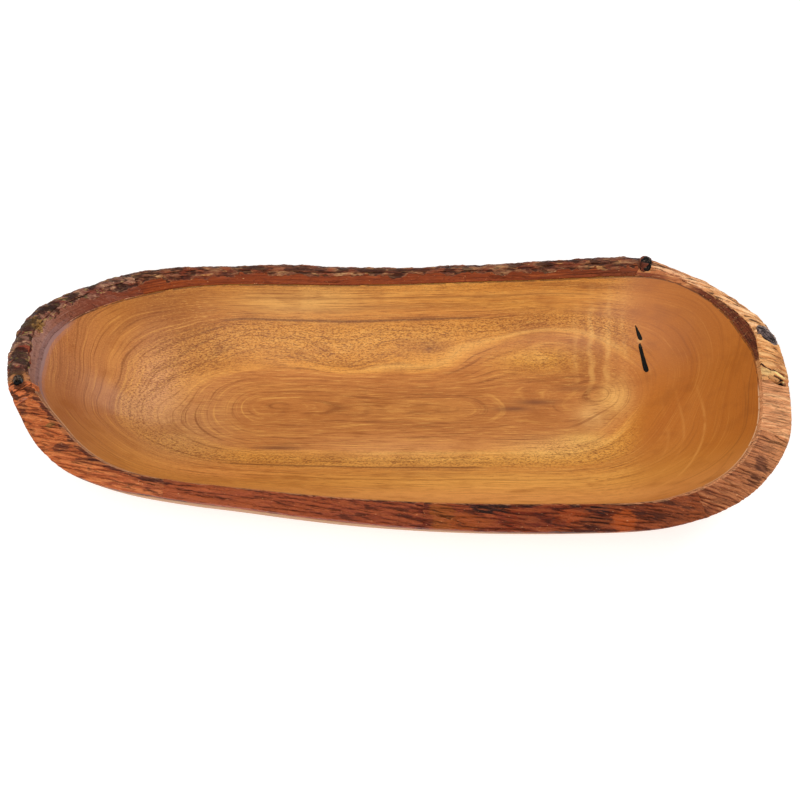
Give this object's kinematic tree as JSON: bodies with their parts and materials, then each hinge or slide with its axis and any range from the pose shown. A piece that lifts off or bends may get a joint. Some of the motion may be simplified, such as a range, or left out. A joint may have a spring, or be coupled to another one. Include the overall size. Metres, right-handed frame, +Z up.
{
  "type": "dough bowl",
  "caption": "Long oval dough bowl carved from a split log, with a natural bark rim, a smooth hollow and a flat foot.",
  "frame": {"origin": "centre of the flat foot, on the table", "axes": "+X along the log towards the end with the filled crack, +Y to the long side that keeps its dark outer crust, +Z up"},
  "size_m": [0.5555, 0.2338, 0.0871],
  "materials": {
    "lacquered_wood": "clear satin lacquer over smooth golden-brown hardwood",
    "cut_bark": "red-brown inner bark, cut and lacquered",
    "grey_cut_bark": "purple-grey inner bark, cut and lacquered",
    "dark_crust": "craggy dark outer bark with pale flecks",
    "orange_bark": "fibrous orange-red bark",
    "front_bark": "rough red-brown bark with dark patches",
    "ridged_bark": "brown bark with ridges along the log",
    "pale_bark": "pale tan fibrous bark with dark lines",
    "dead_knot": "grey-black weathered knot",
    "pin_knot": "small tight dark knot under lacquer",
    "crack_resin": "black resin, polished flush"
  },
  "bodies": {
    "root": {"bowl_body": "lacquered_wood", "rear_inner_bark": "cut_bark", "rear_crust": "dark_crust", "left_inner_bark": "grey_cut_bark", "left_crust": "dark_crust", "left_front_bark": "orange_bark", "front_left_bark": "front_bark", "front_right_bark": "front_bark", "right_front_bark": "ridged_bark", "right_end_bark": "pale_bark", "right_inner_bark": "cut_bark", "right_side_bark": "pale_bark", "right_rear_bark": "pale_bark", "rear_knot": "dead_knot", "right_knot": "dead_knot", "left_knot": "dead_knot", "pin_knot": "pin_knot", "crack_fill_long": "crack_resin", "crack_fill_short": "crack_resin"}
  },
  "joints": []
}
